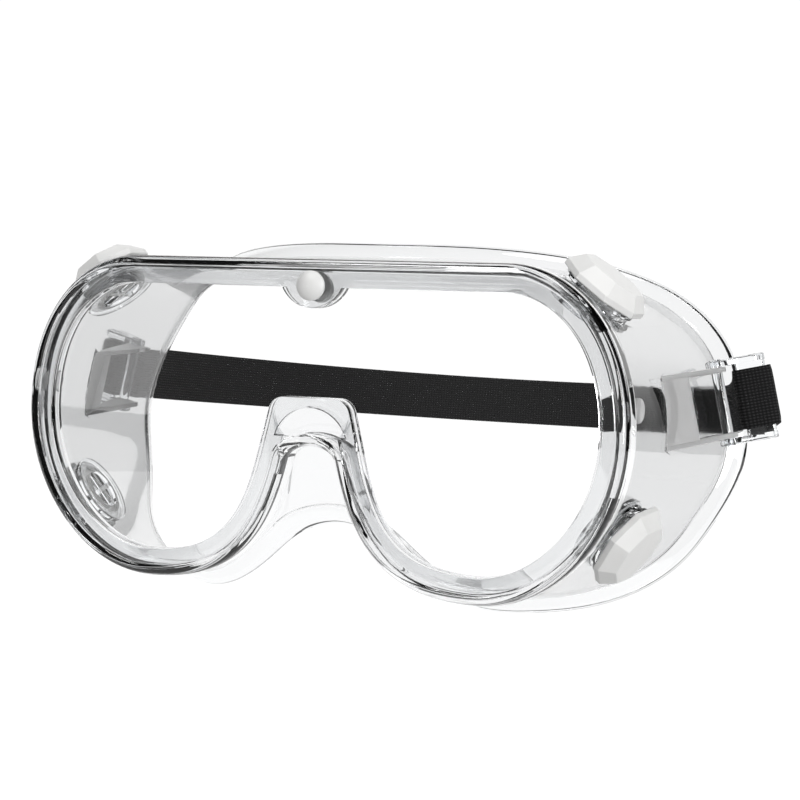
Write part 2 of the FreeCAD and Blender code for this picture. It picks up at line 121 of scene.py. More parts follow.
def offset_point(curve, s, out, top, bottom):
    """A point of the outline moved outward, square to it."""
    if s <= 0:
        return (0.0, top + out)
    if s >= 5:
        return (0.0, bottom - out)
    a, b, p = curve(max(s - STEP, 0)), curve(min(s + STEP, 5)), curve(s)
    dx, dz = b[0] - a[0], b[1] - a[1]
    n = math.hypot(dx, dz)
    return (p[0] - dz / n * out, p[1] + dx / n * out)


def rim(s, out):
    return offset_point(sight, s, out, TOP_Z, ARCH_Z)


CORNER = (NOSE_X + LEG[0] * (TAB_Z - NOSE_Z) / LEG[1], TAB_Z)
SCALLOP_X = math.sqrt(SCALLOP_R ** 2 - (SCALLOP_Z - TOP_Z) ** 2)
SCALLOP_S = SCALLOP_X / TOP_X


def lip_edge(s):
    """Edge of the clear lip: the sight outline with the round swelling and the nose tab."""
    if s < SCALLOP_S:
        a = math.asin(SCALLOP_X / SCALLOP_R) * s / SCALLOP_S
        return (SCALLOP_R * math.sin(a), SCALLOP_Z - SCALLOP_R * math.cos(a))
    if s <= 4:
        return sight(s)
    t = s - 4
    start = (CORNER[0] - LEG[0] * TAB_CORNER, CORNER[1] - LEG[1] * TAB_CORNER)
    end = (CORNER[0] - TAB_CORNER, TAB_Z)
    if t < 0.35:
        f = t / 0.35
        return (NOSE_X + (start[0] - NOSE_X) * f, NOSE_Z + (start[1] - NOSE_Z) * f)
    if t < 0.7:
        f = (t - 0.35) / 0.35
        c1 = (start[0] + (CORNER[0] - start[0]) * TAB_ROUND, start[1] + (CORNER[1] - start[1]) * TAB_ROUND)
        c2 = (end[0] + (CORNER[0] - end[0]) * TAB_ROUND, end[1] + (CORNER[1] - end[1]) * TAB_ROUND)
        return bezier(start, c1, c2, end, f)
    f = (t - 0.7) / 0.3
    return (end[0] * (1 - f), TAB_Z)


def lip(s, out):
    return offset_point(lip_edge, s, out, SCALLOP_Z - SCALLOP_R, TAB_Z)


def level(z, low, high):
    """Station at which the side of the outline passes height z."""
    for _ in range(40):
        mid = (low + high) / 2
        low, high = (mid, high) if rim(mid, GROOVE_OUT)[1] > z else (low, mid)
    return (low + high) / 2


# the lens stands deeper in the rim between these two stations, at its side ears
EAR_S = (level(EAR_TOP, 1.0, 2.0), level(EAR_BOTTOM, 2.0, 3.0))


def groove(s, out):
    """Bottom of the lens groove, which runs round the mushroom key over the nose."""
    if s <= 4:
        ear = EAR_OUT if EAR_S[0] < s < EAR_S[1] else 0.0
        return rim(s, GROOVE_OUT + out + ear)
    t = s - 4
    start = rim(4, GROOVE_OUT + out)
    foot_x = KEY_NECK - out
    head = math.asin(math.sqrt(KEY_R ** 2 - (KEY_FOOT - KEY_TOP + KEY_R) ** 2) / KEY_R)
    if t < 0.3:
        f = t / 0.3
        return (start[0] + (foot_x - start[0]) * f, start[1] + (KEY_FOOT - start[1]) * f)
    if t < 0.45:
        f = (t - 0.3) / 0.15
        return (foot_x + (KEY_R * math.sin(head) - foot_x) * f, KEY_FOOT)
    a = head * (1 - t) / 0.55
    return (KEY_R * math.sin(a), KEY_TOP - KEY_R + KEY_R * math.cos(a))


# ---- rear edge: the same smooth curve as the CAD side wall --------------------------------------
def running(points):
    d = np.linalg.norm(np.diff(points, axis=0), axis=1)
    run = np.concatenate([[0], np.cumsum(d)])
    return run / run[-1]


def periodic_spline(t, y):
    """Second derivatives of the closed cubic spline through y at t; the last point repeats the first."""
    n = len(t) - 1
    h = np.diff(t)
    a = np.zeros((n, n))
    rhs = np.zeros((n, y.shape[1]))
    for i in range(n):
        p, q = (i - 1) % n, (i + 1) % n
        a[i, p] += h[p]
        a[i, i] += 2 * (h[p] + h[i])
        a[i, q] += h[i]
        rhs[i] = 6 * ((y[i + 1] - y[i]) / h[i] - (y[i] - y[p]) / h[p])
    m = np.linalg.solve(a, rhs)
    return np.vstack([m, m[:1]])


def spline_at(t, y, m, x):
    i = int(np.clip(np.searchsorted(t, x) - 1, 0, len(t) - 2))
    h = t[i + 1] - t[i]
    a, b = (t[i + 1] - x) / h, (x - t[i]) / h
    return a * y[i] + b * y[i + 1] + ((a ** 3 - a) * m[i] + (b ** 3 - b) * m[i + 1]) * h * h / 6


rear_half = np.array(REAR_EDGE, float)
front_half = np.array([(rim(s, SKIRT_OUT)[0], RIM_BACK, rim(s, SKIRT_OUT)[1]) for s in FACING])
shared = (running(rear_half) + running(front_half)) / 2
closed_t = np.concatenate([shared, 2 - shared[-2::-1]])
closed_y = np.vstack([rear_half, rear_half[-2::-1] * [-1, 1, 1]])
closed_m = periodic_spline(closed_t, closed_y)


def rear_mid(u):
    return spline_at(closed_t, closed_y, closed_m, u)


def rear(u, out, back):
    """Rear edge of the wall at shared length u, moved outward and backward."""
    p = rear_mid(u)
    if u <= 0:
        n = (0.0, 1.0)
    elif u >= 1:
        n = (0.0, -1.0)
    else:
        a, b = rear_mid(max(u - STEP, 0)), rear_mid(min(u + STEP, 1))
        dx, dz = b[0] - a[0], b[2] - a[2]
        k = math.hypot(dx, dz)
        n = (-dz / k, dx / k)
    return (p[0] + n[0] * out, p[1] + back, p[2] + n[1] * out)


def smooth_map(x, xs, ys):
    """Monotone cubic through the pairs xs, ys."""
    xs, ys = np.asarray(xs, float), np.asarray(ys, float)
    d = np.diff(ys) / np.diff(xs)
    m = np.concatenate([[d[0]], 2 * d[:-1] * d[1:] / (d[:-1] + d[1:]), [d[-1]]])
    i = int(np.clip(np.searchsorted(xs, x) - 1, 0, len(xs) - 2))
    h = xs[i + 1] - xs[i]
    t = (x - xs[i]) / h
    return ((2 * t ** 3 - 3 * t ** 2 + 1) * ys[i] + (t ** 3 - 2 * t ** 2 + t) * h * m[i]
            + (3 * t ** 2 - 2 * t ** 3) * ys[i + 1] + (t ** 3 - t ** 2) * h * m[i + 1])


def spread(lo, hi, n):
    return [lo + (hi - lo) * i / n for i in range(n)]


STATIONS = (spread(0, SCALLOP_S, 12) + spread(SCALLOP_S, 1, 16) + spread(1, 2, 30) + spread(2, 3, 30)
            + spread(3, 4, 32) + spread(4, 4.3, 7) + spread(4.3, 4.45, 4) + spread(4.45, 5, 18) + [5])
STATIONS = sorted(STATIONS + [s + d for s in EAR_S for d in (-0.002, 0.002)])


# =================================================================================================
# Mesh helpers
# =================================================================================================
def mesh_object(name, verts, faces, smooth=True):
    me = bpy.data.meshes.new(name)
    me.from_pydata([tuple(v) for v in verts], [], faces)
    me.update()
    ob = bpy.data.objects.new(name, me)
    bpy.context.scene.collection.objects.link(ob)
    if smooth:
        me.shade_smooth()
    return ob


def sharp_by_angle(ob, degrees):
    ob.data.shade_smooth()
    bm = bmesh.new()
    bm.from_mesh(ob.data)
    limit = math.radians(degrees)
    for e in bm.edges:
        e.smooth = not (len(e.link_faces) == 2 and e.calc_face_angle(0) > limit)
    bm.to_mesh(ob.data)
    bm.free()


def fix_normals(ob):
    bm = bmesh.new()
    bm.from_mesh(ob.data)
    bmesh.ops.recalc_face_normals(bm, faces=bm.faces)
    bm.to_mesh(ob.data)
    bm.free()


def bake_modifiers(ob):
    dg = bpy.context.evaluated_depsgraph_get()
    me = bpy.data.meshes.new_from_object(ob.evaluated_get(dg))
    ob.modifiers.clear()
    ob.data = me


def drop(ob):
    bpy.data.objects.remove(ob, do_unlink=True)


def boolean(ob, others, operation):
    for other in others:
        m = ob.modifiers.new("b", "BOOLEAN")
        m.operation = operation
        m.object = other
        m.solver = "EXACT"
    bake_modifiers(ob)
    for other in others:
        drop(other)


def weld(ob):
    """Join points that coincide, which closes the seams that the cuts leave."""
    bm = bmesh.new()
    bm.from_mesh(ob.data)
    bmesh.ops.remove_doubles(bm, verts=bm.verts, dist=1e-7)
    bm.to_mesh(ob.data)
    bm.free()


def bevel(ob, width):
    m = ob.modifiers.new("bevel", "BEVEL")
    m.width = width
    m.segments = 2
    m.limit_method = "ANGLE"
    m.angle_limit = math.radians(40)
    bake_modifiers(ob)


def tube_ring(name, rows):
    """Closed ring: rows[i][j] is point j of the closed section at station i, and stations close too."""
    n, m = len(rows), len(rows[0])
    verts = [Vector(p) * MM for row in rows for p in row]
    faces = []
    for i in range(n):
        k = (i + 1) % n
        for j in range(m):
            q = (j + 1) % m
            faces.append((i * m + j, i * m + q, k * m + q, k * m + j))
    ob = mesh_object(name, verts, faces)
    fix_normals(ob)
    return ob


def both_halves(section):
    """Stations of a right-half section and of its mirror image, in order round the ring."""
    right = [section(s) for s in STATIONS]
    left = [[(-x, y, z) for x, y, z in row] for row in reversed(right[1:-1])]
    return right + left


# =================================================================================================
# Materials
# =================================================================================================
def new_material(name):
    mat = bpy.data.materials.new(name)
    mat.use_nodes = True
    nodes, links = mat.node_tree.nodes, mat.node_tree.links
    shader = nodes["Principled BSDF"]
    return mat, nodes, links, shader


def noise_bump(nodes, links, shader, scale, strength, distance, detail=3.0):
    coord = nodes.new("ShaderNodeTexCoord")
    noise = nodes.new("ShaderNodeTexNoise")
    noise.inputs["Scale"].default_value = scale
    noise.inputs["Detail"].default_value = detail
    links.new(coord.outputs["Object"], noise.inputs["Vector"])
    bump = nodes.new("ShaderNodeBump")
    bump.inputs["Strength"].default_value = strength
    bump.inputs["Distance"].default_value = distance
    links.new(noise.outputs["Fac"], bump.inputs["Height"])
    links.new(bump.outputs["Normal"], shader.inputs["Normal"])
    return coord, noise


def uneven(nodes, links, noise, low, high, target):
    """Spread the middle of a noise between low and high, for a slightly uneven polish."""
    node = nodes.new("ShaderNodeMapRange")
    node.inputs["From Min"].default_value = 0.3
    node.inputs["From Max"].default_value = 0.7
    node.inputs["To Min"].default_value = low
    node.inputs["To Max"].default_value = high
    links.new(noise.outputs["Fac"], node.inputs["Value"])
    links.new(node.outputs["Result"], target)


def math_node(nodes, links, operation, sources, constant=None):
    """Math node fed by the given sockets in order; None leaves room for the constant."""
    node = nodes.new("ShaderNodeMath")
    node.operation = operation
    for slot_, source in enumerate(sources):
        if source is None:
            node.inputs[slot_].default_value = constant
        else:
            links.new(source, node.inputs[slot_])
    return node.outputs["Value"]


def clear_material(name, color, ior, rough_low, rough_high, wave, bump_strength):
    """Clear moulded plastic: faint flow waviness and slightly uneven polish."""
    mat, nodes, links, shader = new_material(name)
    shader.inputs["Base Color"].default_value = (*color, 1)
    shader.inputs["Transmission Weight"].default_value = 1.0
    shader.inputs["IOR"].default_value = ior
    noise = noise_bump(nodes, links, shader, wave, bump_strength, 0.0006)[1]
    uneven(nodes, links, noise, rough_low, rough_high, shader.inputs["Roughness"])
    return mat


def painted_shade_towards_sides(mat, middle, side, near, far):
    """Painted shade: the side wall's colour is turned greyer at the temples than over the brow and nose."""
    nodes, links = mat.node_tree.nodes, mat.node_tree.links
    coord = nodes.new("ShaderNodeTexCoord")
    split = nodes.new("ShaderNodeSeparateXYZ")
    links.new(coord.outputs["Object"], split.inputs["Vector"])
    across = math_node(nodes, links, "ABSOLUTE", [split.outputs["X"]])
    blend = nodes.new("ShaderNodeMapRange")
    blend.interpolation_type = "SMOOTHSTEP"
    blend.inputs["From Min"].default_value = near
    blend.inputs["From Max"].default_value = far
    links.new(across, blend.inputs["Value"])
    ramp = nodes.new("ShaderNodeValToRGB")
    ramp.color_ramp.elements[0].color = (*middle, 1)
    ramp.color_ramp.elements[1].color = (*side, 1)
    links.new(blend.outputs["Result"], ramp.inputs["Fac"])
    links.new(ramp.outputs["Color"], nodes["Principled BSDF"].inputs["Base Color"])


# The side grey is painted shade: the clear wall's colour is darkened towards the temples.
VINYL_IOR, MIDDLE_GREY, SHADED_SIDE_GREY = 1.50, (0.87, 0.875, 0.88), (0.65, 0.655, 0.66)
vinyl_rim = clear_material("clear_vinyl_rim", (0.885, 0.89, 0.895), VINYL_IOR, 0.01, 0.03, 55.0, 0.05)
vinyl_wall = clear_material("clear_vinyl_wall", SHADED_SIDE_GREY, VINYL_IOR, 0.02, 0.06, 55.0, 0.05)
painted_shade_towards_sides(vinyl_wall, MIDDLE_GREY, SHADED_SIDE_GREY, 0.028, 0.054)
vinyl_satin = clear_material("clear_vinyl_satin", (0.80, 0.80, 0.80), VINYL_IOR, 0.36, 0.46, 300.0, 0.05)
vinyl_satin.node_tree.nodes["Principled BSDF"].inputs["Transmission Weight"].default_value = 0.55
lens_clear = clear_material("clear_lens", (1.0, 1.0, 1.0), 1.50, 0.0, 0.01, 30.0, 0.0)
hard_clear = clear_material("clear_hard", (0.93, 0.94, 0.95), 1.52, 0.01, 0.04, 90.0, 0.03)


def white_plastic():
    mat, nodes, links, shader = new_material("white_plastic")
    shader.inputs["Specular IOR Level"].default_value = 0.45
    coord = noise_bump(nodes, links, shader, 900.0, 0.12, 0.0002, 4.0)[0]
    ramp = nodes.new("ShaderNodeValToRGB")
    ramp.color_ramp.elements[0].position = 0.3
    ramp.color_ramp.elements[0].color = (0.80, 0.80, 0.79, 1)
    ramp.color_ramp.elements[1].position = 0.7
    ramp.color_ramp.elements[1].color = (0.86, 0.86, 0.85, 1)
    wide = nodes.new("ShaderNodeTexNoise")
    wide.inputs["Scale"].default_value = 120.0
    links.new(coord.outputs["Object"], wide.inputs["Vector"])
    links.new(wide.outputs["Fac"], ramp.inputs["Fac"])
    links.new(ramp.outputs["Color"], shader.inputs["Base Color"])
    uneven(nodes, links, wide, 0.34, 0.5, shader.inputs["Roughness"])
    return mat


RIB_PITCH, PLEAT_PITCH = 0.00075, 0.0009


def elastic_webbing():
    """Black woven elastic: fine ribs along the strap, crossed by the rubber's short even pleats."""
    mat, nodes, links, shader = new_material("elastic_webbing")
    coord = nodes.new("ShaderNodeTexCoord")
    split = nodes.new("ShaderNodeSeparateXYZ")
    links.new(coord.outputs["UV"], split.inputs["Vector"])

    def wave(axis, pitch):
        turns = math_node(nodes, links, "MULTIPLY", [split.outputs[axis], None], 2 * math.pi / pitch)
        return math_node(nodes, links, "SINE", [turns])

    ribs, pleats = wave("Y", RIB_PITCH), wave("X", PLEAT_PITCH)
    mixed = math_node(nodes, links, "MULTIPLY", [ribs, pleats])
    both = math_node(nodes, links, "MULTIPLY_ADD", [pleats, None, ribs], 0.7)
    total = math_node(nodes, links, "MULTIPLY_ADD", [mixed, None, both], 0.6)
    fuzz = nodes.new("ShaderNodeTexNoise")
    fuzz.inputs["Scale"].default_value = 2500.0
    links.new(coord.outputs["Object"], fuzz.inputs["Vector"])
    height = math_node(nodes, links, "MULTIPLY_ADD", [fuzz.outputs["Fac"], None, total], 0.5)
    bump = nodes.new("ShaderNodeBump")
    bump.inputs["Strength"].default_value = 0.8
    bump.inputs["Distance"].default_value = 0.00012
    links.new(height, bump.inputs["Height"])
    links.new(bump.outputs["Normal"], shader.inputs["Normal"])
    # Painted highlight and shade: the colour follows the weave's height, lighter on the thread tops and
    # darker in the grooves between them.
    ramp = nodes.new("ShaderNodeValToRGB")
    ramp.color_ramp.elements[0].color = (0.0015, 0.0015, 0.0017, 1)
    ramp.color_ramp.elements[0].position = 0.25
    ramp.color_ramp.elements[1].color = (0.03, 0.03, 0.031, 1)
    weave_light_and_shade = nodes.new("ShaderNodeMapRange")
    weave_light_and_shade.inputs["From Min"].default_value = -1.6
    weave_light_and_shade.inputs["From Max"].default_value = 2.5
    links.new(height, weave_light_and_shade.inputs["Value"])
    links.new(weave_light_and_shade.outputs["Result"], ramp.inputs["Fac"])
    links.new(ramp.outputs["Color"], shader.inputs["Base Color"])
    shader.inputs["Roughness"].default_value = 0.8
    shader.inputs["Specular IOR Level"].default_value = 0.2
    shader.inputs["Sheen Weight"].default_value = 0.02
    shader.inputs["Sheen Roughness"].default_value = 0.4
    return mat


# =================================================================================================
# Frame body: rim, side wall and face seal in one closed shell
# =================================================================================================
FRONT_BEAD = [(3.7, -2.0), (3.95, -1.78), (4.15, -1.78), (4.5, -2.12), (5.1, -2.3), (5.75, -2.15),
              (6.3, -1.7), (6.7, -0.95), (6.88, 0.0), (6.9, 1.5), (6.9, 4.2), (6.85, 5.2), (6.62, 5.9),
              (6.3, 6.3), (6.02, 6.55)]
SEAL_OUT = [(0.5, 0.35), (1.6, 1.1), (2.7, 2.4), (3.5, 3.8), (3.95, 4.8), (3.9, 5.3), (3.5, 5.5), (2.9, 5.3),
            (2.0, 4.5), (0.9, 3.2), (-0.5, 2.3), (-1.4, 1.7), (-1.8, 1.1)]
WALL_ROWS = [0.02, 0.06, 0.12, 0.2, 0.3, 0.4, 0.5, 0.6, 0.7, 0.8, 0.88, 0.94, 0.98, 1.0]


def frame_section(s):
    """Cross-section at a station: lip, bead, wall, seal, back up the wall, groove, and lip again."""
    u = float(smooth_map(s, FACING, shared))

    def at2(fn, out, y):
        x, z = fn(s, out)
        return (x, y, z)

    row = [at2(lip, 0, -1.0), at2(lip, 0, -1.65), at2(lip, 0.1, -1.9), at2(lip, 0.35, -2.0)]
    row += [at2(rim, o, y) for o, y in FRONT_BEAD]
    start_out = Vector(at2(rim, SKIRT_OUT, RIM_BACK))
    start_in = Vector(at2(rim, SKIRT_OUT - WALL, RIM_BACK))
    end_out, end_in = Vector(rear(u, 0, 0)), Vector(rear(u, -WALL, 0))
    row += [tuple(start_out.lerp(end_out, f)) for f in WALL_ROWS]
    row += [rear(u, o, b) for o, b in SEAL_OUT]
    row += [tuple(start_in.lerp(end_in, f)) for f in reversed(WALL_ROWS)]
    row += [at2(rim, 4.2, 6.4), at2(rim, 4.2, 4.2), at2(rim, 4.05, 3.6), at2(rim, 3.6, 3.4)]
    row += [at2(lip, 0.3, 3.4), at2(lip, 0.08, 3.3), at2(lip, 0, 3.1), at2(lip, 0, 2.35)]
    row += [at2(lip, 0.12, 2.12)]
    row += [at2(groove, -0.25, 2.1), at2(groove, 0, 1.9), at2(groove, 0, 0.2), at2(groove, -0.25, 0.0)]
    row += [at2(lip, 0.12, -0.02), at2(lip, 0, -0.25)]
    return row


body = tube_ring("frame_body", both_halves(frame_section))
LIP_POINTS = 4
wall_start = LIP_POINTS + len(FRONT_BEAD)
in_start = wall_start + len(WALL_ROWS) + len(SEAL_OUT)
wall_faces = set(range(wall_start, wall_start + len(WALL_ROWS) - 1))
wall_faces |= set(range(in_start, in_start + len(WALL_ROWS) - 1))
per_ring = len(frame_section(1.0))
VINYLS = (vinyl_rim, vinyl_wall, vinyl_satin)
for vinyl in VINYLS:
    body.data.materials.append(vinyl)
for f in body.data.polygons:
    f.material_index = 1 if f.index % per_ring in wall_faces else 0
wall_tree = BVHTree.FromObject(body, bpy.context.evaluated_depsgraph_get())

# ---- vent collars and their bores -----------------------------------------------------------------
PIVOT = Vector((86.9, 57.5, 6.0))
LEAN = math.radians(13.0)
UP = Vector((-math.sin(LEAN), 0, math.cos(LEAN)))
OUT = Vector((math.cos(LEAN), 0, math.sin(LEAN)))
BACK = Vector((0, 1, 0))


def lathe(name, profile, base, axis, steps=64):
    """Solid of revolution from (radius, height) pairs, closed at both ends on the axis or as a ring."""
    axis = Vector(axis).normalized()
    side = axis.orthogonal().normalized()
    up = axis.cross(side)
    verts, faces = [], []
    m = len(profile)
    for i in range(steps):
        a = 2 * math.pi * i / steps
        d = side * math.cos(a) + up * math.sin(a)
        verts += [(Vector(base) + axis * h + d * r) * MM for r, h in profile]
    for i in range(steps):
        k = (i + 1) % steps
        for j in range(m):
            q = (j + 1) % m
            if profile[j][0] or profile[q][0]:
                faces.append((i * m + j, k * m + j, k * m + q, i * m + q))
    ob = mesh_object(name, verts, faces)
    bm = bmesh.new()
    bm.from_mesh(ob.data)
    bmesh.ops.remove_doubles(bm, verts=bm.verts, dist=1e-6)
    bmesh.ops.dissolve_degenerate(bm, dist=1e-7, edges=bm.edges)
    bmesh.ops.recalc_face_normals(bm, faces=bm.faces)
    bm.to_mesh(ob.data)
    bm.free()
    return ob


# (radius, height) outlines, with heights above the wall along each vent's own axis
COLLAR = [(0, -2.9), (8.7, -2.9), (9.0, -2.6), (9.0, 0.1), (8.75, 0.32), (0, 0.32)]
BORE = [(0, -9), (9.8, -9), (9.8, -2.95), (7.1, -2.95), (7.1, 9), (0, 9)]
FLANGE_TOP = 1.1
BUMP = [(0, -0.9), (3.0, -0.9), (3.0, 0.3), (2.8, 0.7), (2.3, 1.0), (1.6, 1.1), (0, 1.1)]
BUMP_FROM = Vector((120, 8.8, 6))
STUD_HOLE = [(0, -3), (STUD_HOLE_R, -3), (STUD_HOLE_R, 5), (0, 5)]

joint_axis = {j["name"]: Vector(j["axis"]) for j in frame["joints"]}
collars, bores = [], []


def vent_foot(node, axis):
    """Point on the vent axis level with the wall, FLANGE_TOP below the end of the ring's flange."""
    side = axis.orthogonal().normalized()
    up = axis.cross(side)
    ob = frame["nodes"][node]
    pts = [ob.matrix_world @ v.co / MM for v in ob.data.vertices]
    spans = [[p.dot(d) for p in pts] for d in (side, up, axis)]
    return (side * (max(spans[0]) + min(spans[0])) / 2 + up * (max(spans[1]) + min(spans[1])) / 2
            + axis * (max(spans[2]) - FLANGE_TOP))


for row in ("upper", "lower"):
    for side_name in ("left", "right"):
        axis = joint_axis["cap_%s_%s_pull" % (row, side_name)].normalized()
        foot = vent_foot("vent_ring_%s_%s" % (row, side_name), axis)
        collars.append(lathe("collar", COLLAR, foot, axis))
        bores.append(lathe("bore", BORE, foot, axis))

# ---- strap brackets ---------------------------------------------------------------------------------
def local(n, y, u, k=1):
    p = PIVOT + OUT * n + BACK * y + UP * u
    return Vector((p.x * k, p.y, p.z))


def wall_at(y, u):
    """How far out the wall stands, level with a point of the bracket."""
    hit = wall_tree.ray_cast(local(25, y, u) * MM, -OUT)[0]
    return (hit / MM - PIVOT).dot(OUT)


def strip_solid(name, outer, inner, u0, u1, k, nu=1):
    """Slab between an outer and an inner edge, both given as functions giving (n, y) for a width u."""
    us = [u0 + (u1 - u0) * i / nu for i in range(nu + 1)]
    rings = [[local(n, y, u, k) for n, y in outer(u)] + [local(n, y, u, k) for n, y in reversed(inner(u))]
             for u in us]
    m = len(rings[0])
    verts = [p * MM for ring in rings for p in ring]
    faces = [tuple(range(m)), tuple(reversed(range(nu * m, nu * m + m)))]
    for i in range(nu):
        for j in range(m):
            q = (j + 1) % m
            faces.append((i * m + j, i * m + q, (i + 1) * m + q, (i + 1) * m + j))
    ob = mesh_object(name, verts, faces, smooth=False)
    fix_normals(ob)
    return ob


TIP, COVER = 25.0 - PIVOT.y, 39.0 - PIVOT.y
WEDGE_LOW, WEDGE_RISE, WEDGE_END = -6.2, 8.1, -1.8           # distances out from the pivot, and its end
RUN = WEDGE_RISE / (WEDGE_END - TIP)
TAPER, TIP_SINK, WALL_SINK = 8.0, 0.25, 0.9
EAR_SPANS, COVER_HALF, COVER_STRIPS = ((7.7, 8.95), (-8.95, -7.7)), 7.8, 8
COVER_YS = [TIP + 0.4, -30, -27, -24, -21, COVER]


def slope(y, u):
    """Outer face of the wedge: it rises out of the wall behind its tip."""
    t = min(max((y - TIP) / TAPER, 0.0), 1.0)
    wall = wall_at(y, u)
    return wall + (WEDGE_LOW + RUN * (y - TIP) - wall) * t * t * (3 - 2 * t) - TIP_SINK * (1 - t) ** 2


EAR_YS = [TIP + 1.0, -30, -28, -26, -24, -21.5, -19, -15, -12, -6, WEDGE_END]
EYE = [(2.2, -0.6), (2.35, 0.4), (1.9, 1.5), (0.9, 2.2), (-0.4, 2.3)]


def ear_outer(u):
    return [(slope(y, u), y) for y in EAR_YS] + EYE


def ear_inner(u):
    ys = EAR_YS + [-0.6, 0.4, 1.4, 2.0, 2.3]
    return [(wall_at(y, u) - WALL_SINK, y) for y in ys]


def cover_outer(u):
    return [(slope(y, u) + 0.08, y) for y in COVER_YS]


def cover_inner(u):
    return [(max(slope(y, u) - 1.3, wall_at(y, u) - WALL_SINK) - 0.1, y) for y in COVER_YS]


def satin(ob):
    for vinyl in VINYLS:
        ob.data.materials.append(vinyl)
    for f in ob.data.polygons:
        f.material_index = VINYLS.index(vinyl_satin)


brackets = []
for k in (1, -1):
    for u0, u1 in EAR_SPANS:
        ear = strip_solid("ear", ear_outer, ear_inner, u0, u1, k)
        satin(ear)
        bevel(ear, 0.22 * MM)
        brackets.append(ear)
    cover = strip_solid("cover", cover_outer, cover_inner, -COVER_HALF, COVER_HALF, k, COVER_STRIPS)
    satin(cover)
    bevel(cover, 0.2 * MM)
    brackets.append(cover)
    spot = wall_tree.ray_cast(BUMP_FROM * MM, Vector((-1, 0, 0)))[0] / MM
    brackets.append(lathe("bump", BUMP, (spot.x * k, spot.y, spot.z), (k, 0, 0), 40))
    satin(brackets[-1])

boolean(body, collars + brackets, "UNION")
stud_hole = lathe("stud_hole", STUD_HOLE, (0, 0, STUD_Z), (0, 1, 0), 32)
boolean(body, bores + [stud_hole], "DIFFERENCE")
weld(body)
sharp_by_angle(body, 38)
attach(body, "frame")
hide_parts("frame_rim", "frame_skirt", "face_seal", "strap_bracket_left", "strap_bracket_right")

# =================================================================================================
# Strap
# =================================================================================================
BAR_ANGLE = math.radians(22.0)
REACH = OUT * math.cos(BAR_ANGLE) + BACK * math.sin(BAR_ANGLE)
ACROSS = BACK * math.cos(BAR_ANGLE) - OUT * math.sin(BAR_ANGLE)
BAND_START, BAND_BACK, BAND_SAG = (93.5, 73.0), 203.0, 0.084
STRAP_W, STRAP_T, STRAP_COLUMNS = 15.0, 1.3, 10
LEAN_START, LEAN_RUN = 75.0, 45.0                            # where the band turns to lie along the wall
# centre line from behind the buckle, through it and round its end bar, in the buckle's own plane
LEAD = [(13.6, 4.6), (13.35, 1.6), (12.7, -0.7), (11.2, -1.85), (8.5, -1.95), (5.8, -1.85), (4.45, -1.0),
        (4.2, 0.2), (4.7, 1.3), (5.8, 1.8), (8.5, 1.85), (11.0, 1.95)]


def band_mid(t):
    x = BAND_START[0] * math.cos(t * math.pi / 2) ** 0.9
    y = BAND_START[1] + (BAND_BACK - BAND_START[1]) * math.sin(t * math.pi / 2) ** 1.25
    return Vector((x, y, PIVOT.z + 1.0 - BAND_SAG * (y - PIVOT.y)))


def catmull(points, per):
    out = []
    pts = [points[0]] + list(points) + [points[-1]]
    for i in range(1, len(pts) - 2):
        a, b, c, d = pts[i - 1:i + 3]
        for j in range(per):
            t = j / per
            out.append(0.5 * ((2 * b) + (c - a) * t + (2 * a - 5 * b + 4 * c - d) * t * t
                              + (3 * b - 3 * c + d - a) * t ** 3))
    out.append(points[-1])
    return out


def buckle_point(r, a):
    """A point in the buckle's own plane: r along its arms, a square to them, at mid width."""
    return PIVOT + REACH * r + ACROSS * a


def strap_path():
    """Centre line of the right half: from the back of the head to the buckle and round the end bar."""
    band = [band_mid(1 - i / 26.0) for i in range(27)]
    return catmull(band + [buckle_point(r, a) for r, a in LEAD], 6)


def sweep_strap(name, k):
    """One half of the strap and its length; its UV map is in metres along and across the band."""
    path = strap_path()
    n = len(path)
    widths = STRAP_COLUMNS
    verts, faces, along = [], [], [0.0]
    for i in range(1, n):
        along.append(along[-1] + (path[i] - path[i - 1]).length)
    for i, p in enumerate(path):
        a, b = path[max(i - 1, 0)], path[min(i + 1, n - 1)]
        d = (b - a).normalized()
        lean = min(max((along[i] - along[-1] + LEAN_START) / LEAN_RUN, 0.0), 1.0)
        lean = lean * lean * (3 - 2 * lean)
        up = (Vector((0, 0, 1)) * (1 - lean) + UP * lean).normalized()
        out = d.cross(up).normalized()
        up = out.cross(d).normalized()
        section = []
        for j in range(widths + 1):
            w = j / widths - 0.5
            section.append((w, 0.5 - 0.18 * (abs(w) * 2) ** 8))
        loop = [(w, h) for w, h in section] + [(w, -h) for w, h in reversed(section)]
        for w, h in loop:
            q = p + up * (w * STRAP_W) + out * (h * STRAP_T)
            verts.append(Vector((q.x * k, q.y, q.z)) * MM)
    m = 2 * (widths + 1)
    for i in range(n - 1):
        for j in range(m):
            q = (j + 1) % m
            faces.append((i * m + j, i * m + q, (i + 1) * m + q, (i + 1) * m + j))
    faces.append(tuple(range(m)))
    faces.append(tuple(reversed(range((n - 1) * m, n * m))))
    ob = mesh_object(name, verts, faces)
    fix_normals(ob)
    uv = ob.data.uv_layers.new(name="UVMap")
    for loop in ob.data.loops:
        i, j = divmod(loop.vertex_index, m)
        w = j if j <= widths else m - 1 - j
        uv.data[loop.index].uv = (along[i] * MM * k, (w / widths - 0.5) * STRAP_W * MM)
    sharp_by_angle(ob, 50)
    return ob, along[-1]


straps = []
for side_name, k in (("right", 1), ("left", -1)):
    strap, strap_length = sweep_strap("strap_" + side_name, k)
    straps.append(strap)
    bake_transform(strap)
    if k > 0:
        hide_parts("strap_turn_right", "strap_band")
    else:
        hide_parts("strap_turn_left")

# =================================================================================================
# Paint
# =================================================================================================
white = white_plastic()
webbing = elastic_webbing()


def paint(ob, mat):
    if not ob.material_slots:
        ob.data.materials.append(mat)
    for slot_ in ob.material_slots:
        slot_.material = mat


